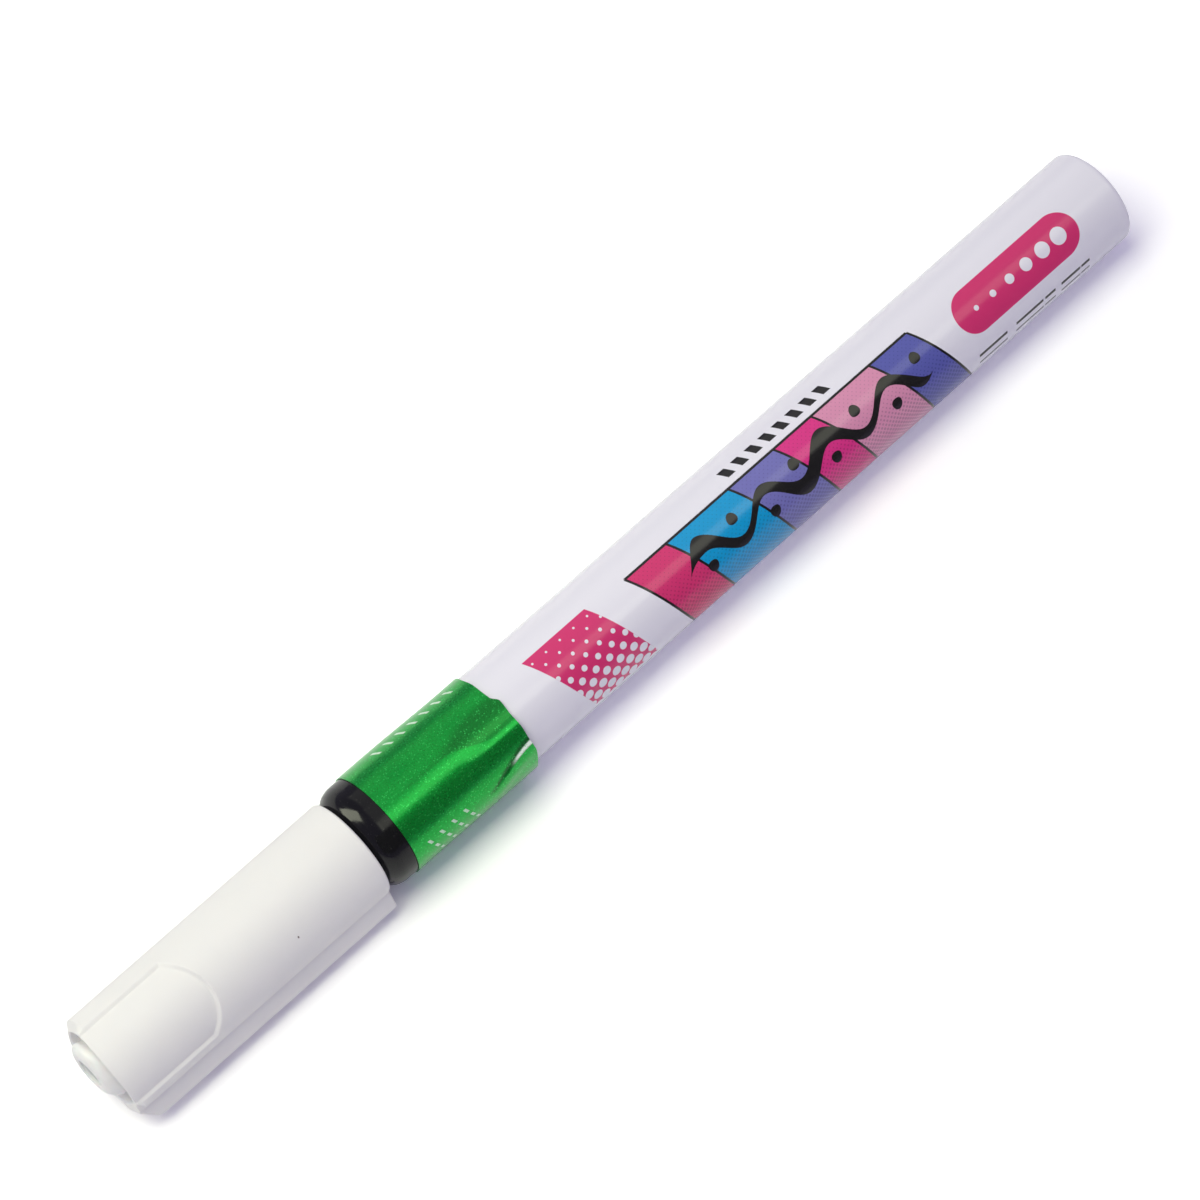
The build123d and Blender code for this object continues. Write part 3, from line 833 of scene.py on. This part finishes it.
fin_turn, fin_reach, round_turn = fin_outline()
fin_back = tube_back + fin_from_mouth
outside = rounded([
    (tail_x - tail_wall, tube_bore_r),
    (tube_back, tube_bore_r, 0.1),
    (tube_back, tube_r, 0.12),
    (fin_back, tube_r)])[1:]
tail = rounded([
    (fin_back + fin_length, tube_r),
    (tail_x, tube_r, tail_round),
    (tail_x, recess_r, 0.12),
    (tail_x - recess_depth, recess_r, 0.1),
    (tail_x - recess_depth, 0)], steps=14)
chamber = np.array([(tail_x - tail_wall, 0), (tail_x - tail_wall, tube_bore_r)])
profile = np.concatenate([chamber, outside, [(fin_back, 0), (fin_back + fin_length, 0)], tail])
is_fin = np.zeros(len(profile), bool)
is_fin[len(chamber) + len(outside):][:2] = True
turn_angle = np.where(is_fin[:, None], fin_turn[None], round_turn[None]) + pi / 2 + CAP_TURN
reach = np.where(is_fin[:, None], fin_reach[None], profile[:, 1:])
inner_points = np.stack([
    np.broadcast_to(profile[:, :1], reach.shape), reach * np.sin(turn_angle), reach * np.cos(turn_angle)], -1)
lean = climb(profile[:, 0], rim_x - 0.7, tail_x - recess_depth)
inner_points[..., 1:] += lean[:, None, None] * TAIL_LEAN
inner = grid_piece("inner_cap_moulding", inner_points, close_columns=True)
stand_for(inner, "inner_cap", "cap")

satin = Finish("inner_white", IOR=1.46, Subsurface_Weight=0.1, Subsurface_Scale=0.4 * MM)
flow = satin.noise(1.2, 3.0, stretch=(0.3, 1.0, 1.0))
from_tail = satin.length(satin.less(satin.y, TAIL_LEAN[0]), satin.less(satin.z, TAIL_LEAN[1]))
recess_floor = tail_x - recess_depth
# Painted shade: the recess floor is painted a darker grey-green
recess_shade = satin.times(satin.inside(from_tail, recess_r - 0.05, 0.15),
                        satin.rise(satin.x, recess_floor - 0.3, recess_floor - 0.1))
milk = satin.mix(satin.rise(flow, 0.3, 0.7), light(238, 238, 235), light(243, 243, 241))
milk = satin.mix(satin.times(recess_shade, 0.8), milk, light(184, 192, 184))
inner.data.materials.append(satin.wear(
    Base_Color=milk, Roughness=satin.rise(flow, 0.3, 0.7, to=(0.36, 0.48)), Normal=satin.bump(flow, 0.004)))

# %% [markdown]
# ## The nib
# The nib is a rod of pressed fibre, cut to a round-ended cone. It is turned from its profile, and a noise
# drawn out along the rod gives it fibres.

# %% Turn the nib
nib_low, nib_high = node_box("nib")
nib_back, nib_front, nib_r = nib_low[0], nib_high[0], nib_high[2]
nib_cone, nib_point_r = 3.0, 0.5
nib_point = arc((nib_front - nib_point_r, 0), nib_point_r, 90, 0, 10)
nib_rod = rounded([
    (nib_back, 0),
    (nib_back, nib_r, 0.15),
    (nib_front - nib_point_r - nib_cone, nib_r, 1.0),
    tuple(nib_point[0])])
nib = turned("fibre_nib", np.concatenate([nib_rod[:-1], nib_point]), columns=72)
stand_for(nib, "nib", "nib_unit")

fibre = Finish("nib_fibre", IOR=1.4, Sheen_Weight=0.2)
strands = fibre.noise(0.09, 3.0, stretch=(0.08, 1.0, 1.0))
felt = fibre.mix(fibre.rise(strands, 0.3, 0.7), light(226, 220, 206), light(246, 243, 235))
nib.data.materials.append(fibre.wear(
    Base_Color=felt,
    Roughness=fibre.rise(strands, 0.2, 0.8, to=(0.7, 0.9)),
    Normal=fibre.bump(strands, 0.02)))

# %% [markdown]
# ## The valve spring
# The spring shuts the valve and pushes the nib out again. Its wire is a circle carried along a helix, and
# when the nib is pressed it shortens towards the floor of its cup.

# %% Wind the spring
spring_low, spring_high = node_box("valve_spring")
wire_r, coil_r, spring_turns = 0.2, 2.0, 5.5
helix = np.linspace(0, 1, 331)
helix_turn = helix * spring_turns * 2 * pi
coil_from, coil_to = spring_low[0] + wire_r, spring_high[0] - wire_r
out_of_axis = np.stack([0 * helix, np.cos(helix_turn), np.sin(helix_turn)], -1)
middle_line = out_of_axis * coil_r
middle_line[:, 0] = coil_from + helix * (coil_to - coil_from)
heading = np.gradient(middle_line, axis=0)
heading /= np.linalg.norm(heading, axis=1)[:, None]
aside = np.cross(heading, out_of_axis)
wire_turn = np.linspace(0, 2 * pi, 14, endpoint=False)[:, None]
thickness = np.where((helix > 0) & (helix < 1), wire_r, 0.0)[:, None, None]
ring = np.cos(wire_turn) * out_of_axis[:, None] + np.sin(wire_turn) * aside[:, None]
spring = grid_piece("valve_spring_wire", middle_line[:, None] + thickness * ring, close_columns=True)
stand_for(spring, "valve_spring", "barrel")
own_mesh(spring)

# %% [markdown]
# ## What is held inside
# The valve, its seat, the seal and the mixing ball can't be seen with the marker whole, and their solids
# have the right shape, so they stay as they are and only get a finish: natural plastic, rubber or steel.

# %% Finish the inner pieces
def steel(name, size, low, high):
    """Bright steel: metallic, with fine drawn or lapped marks that change its gloss."""
    made = Finish(name, Metallic=1.0)
    marks = made.noise(size, 3.0, stretch=(1.0, 0.3, 0.3))
    tone = made.mix(marks, light(176, 176, 180), light(214, 214, 217))
    gloss = made.rise(marks, 0.3, 0.7, to=(low, high))
    return made.wear(Base_Color=tone, Roughness=gloss, Normal=made.bump(marks, 0.002))


def moulding(name, dark, pale, size, low, high):
    """Plain moulded plastic or rubber: two close tones in soft clouds and a faint texture."""
    made = Finish(name, IOR=1.48)
    clouds = made.noise(size, 3.0)
    tone = made.mix(made.rise(clouds, 0.3, 0.7), dark, pale)
    gloss = made.rise(clouds, 0.3, 0.7, to=(low, high))
    return made.wear(Base_Color=tone, Roughness=gloss, Normal=made.bump(clouds, 0.004))


def dress(node, material):
    """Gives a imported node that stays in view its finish."""
    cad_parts[node].data.materials.clear()
    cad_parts[node].data.materials.append(material)
    print(node, "finished as", material.name)


spring.data.materials.append(steel("spring_steel", 0.15, 0.18, 0.34))
natural = moulding("valve_plastic", light(226, 226, 220), light(238, 238, 234), 0.8, 0.38, 0.52)
for node in ("valve_seat", "valve_stem", "spring_cup"):
    dress(node, natural)
dress("section_gasket", moulding("seal_rubber", light(34, 34, 36), light(52, 52, 54), 0.3, 0.6, 0.8))
dress("mixing_ball", steel("ball_steel", 0.5, 0.06, 0.16))

# %% [markdown]
# ## Floor, light and camera
# The marker lies on a white sweep under a large soft light that stands over its far side, so the near
# side falls off to a cool grey and a short soft shadow lies along it. The floor is whiter for the camera,
# and a little whiter in mirrors, than for the light that it gives back, which turns the lit floor white
# and leaves the shadow. The film and the black moulding are mirrors, so lamps that only show in gloss,
# and two dark cards, give them bands to mirror.

# %% Lay the floor
FLOOR_SIDE = 3.0
film_bottom = -(film_r + film)
floor_lean = (film_bottom + barrel_r) / ((foil_low[0] + foil_high[0]) / 2)
corner = np.array([(-1, -1), (1, -1), (1, 1), (-1, 1)]) * FLOOR_SIDE
floor_points = np.column_stack([corner, corner[:, 0] * floor_lean - (barrel_r + 0.01) * MM])
floor_mesh = bpy.data.meshes.new("floor")
floor_mesh.from_pydata(floor_points.tolist(), [], [(0, 1, 2, 3)])
floor = put_in_scene("floor", floor_mesh)

FLOOR_WHITE, FLOOR_SHOWN, FLOOR_MIRRORED = 0.85, 1.366, 1.1
sweep = Finish("white_sweep", "ShaderNodeBsdfDiffuse")
ray = sweep.add("ShaderNodeLightPath").outputs
whiter = sweep.calc("MULTIPLY_ADD", ray["Is Camera Ray"], FLOOR_SHOWN - FLOOR_WHITE, FLOOR_WHITE)
whiter = sweep.calc("MULTIPLY_ADD", ray["Is Glossy Ray"], FLOOR_MIRRORED - FLOOR_WHITE, whiter)
floor_mesh.materials.append(sweep.wear(Color=whiter))
print("floor leans", round(np.degrees(floor_lean), 3), "degrees")

# %% Set the lights
FILL, KEY, SIDE_PANEL, STRIP, FAR_PANEL, FRONT_PANEL = 0.333, 4.8, 1.0, 1.75, 0.48, 7.0
COOL, WARM = (1.016, 0.94, 1.329, 1), (0.965, 1.0, 0.772)
world = bpy.data.worlds.new("studio")
bpy.context.scene.world = world
world.use_nodes = True
nodes, links = world.node_tree.nodes, world.node_tree.links
nodes.clear()
fill = nodes.new("ShaderNodeBackground")
fill.inputs["Color"].default_value = COOL
fill.inputs["Strength"].default_value = FILL
surface = nodes.new("ShaderNodeOutputWorld")
links.new(fill.outputs[0], surface.inputs["Surface"])


def softbox(name, place, aim, size, radiance, mirrored=False):
    """A square-edged area lamp that looks at a point. Its power is its radiance times pi times its area.
    A mirrored one shows in gloss and lights nothing else. Any other one lights and isn't seen in gloss."""
    lamp = bpy.data.lights.new(name, "AREA")
    lamp.shape = "RECTANGLE"
    lamp.size, lamp.size_y = size
    lamp.energy = radiance * pi * size[0] * size[1]
    lamp.color = WARM
    made = put_in_scene(name, lamp)
    made.location = place
    made.rotation_mode = "QUATERNION"
    made.rotation_quaternion = (Vector(aim) - Vector(place)).to_track_quat("-Z", "Y")
    made.visible_camera = False
    made.visible_diffuse = not mirrored
    made.visible_glossy = mirrored
    print(name, "gives", round(lamp.energy, 2), "W")


LAMP_HEIGHT = 0.40
KEY_FROM, KEY_TO, STRIP_FROM, STRIP_TO = 6.7, -22, 33.5, 14


def ceiling_lamp(name, x_from, x_to, angle_from, angle_to, radiance, mirrored=False):
    """A flat lamp overhead that spans a length of the marker and, seen from it, two angles from upright."""
    y_from, y_to = LAMP_HEIGHT * tan(radians(angle_from)), LAMP_HEIGHT * tan(radians(angle_to))
    place = Vector(((x_from + x_to) / 2, (y_from + y_to) / 2, LAMP_HEIGHT))
    size = (x_to - x_from, abs(y_to - y_from))
    softbox(name, place, (place.x, place.y, 0), size, radiance, mirrored)


ceiling_lamp("key_softbox", 0.05, 0.42, KEY_FROM, KEY_TO, KEY)
ceiling_lamp("side_panel", 0.0, 0.42, KEY_TO, -60, SIDE_PANEL)
ceiling_lamp("strip", -0.45, 0.05, STRIP_FROM, STRIP_TO, STRIP, mirrored=True)
ceiling_lamp("far_panel", -0.45, 0.05, STRIP_TO, -65, FAR_PANEL, mirrored=True)
softbox("front_panel", (0.39, -0.23, 0.26), (0.103, 0, 0), (0.22, 0.45), FRONT_PANEL, mirrored=True)

card_grey = Finish("grey_card", Base_Color=(0.32, 0.32, 0.32, 1), Roughness=0.9).material


def dark_card(name, points):
    """A card that only mirrors can see: four corners, given in two rows of two."""
    mesh = bpy.data.meshes.new(name)
    mesh.from_pydata(points, [], [(0, 1, 3, 2)])
    mesh.materials.append(card_grey)
    made = put_in_scene(name, mesh)
    made.visible_camera = made.visible_diffuse = made.visible_shadow = False


card_from, card_to, card_distance = radians(STRIP_FROM + 1), radians(80), 0.32
card_edge = [(sin(turn) * card_distance, cos(turn) * card_distance) for turn in (card_from, card_to)]
dark_card("near_card", [(x, *edge) for edge in card_edge for x in (-0.25, 0.40)])
dark_card("back_card", [(-0.21, y, z) for y in (-0.3, 0.3) for z in (0.08, 0.65)])

# %% Place the camera
PICTURE_LENS, PICTURE_SENSOR = 131.435, 36.0
azimuth, elevation, distance = radians(135.763), radians(64.357), 0.43167
target = Vector((68.67, -2.293, 0.0)) * MM
back = Vector((sin(azimuth) * cos(elevation), -cos(azimuth) * cos(elevation), sin(elevation)))
lens = bpy.data.cameras.new("camera")
lens.lens, lens.sensor_width = PICTURE_LENS, PICTURE_SENSOR
lens.clip_start, lens.clip_end = 0.01, 10
camera = put_in_scene("camera", lens)
camera.location = target + back * distance
camera.rotation_mode = "QUATERNION"
camera.rotation_quaternion = (-back).to_track_quat("-Z", "Y")
bpy.context.scene.camera = camera
bpy.context.scene.view_settings.view_transform = "Standard"
print("camera at", [round(part / MM, 1) for part in camera.location], "mm")
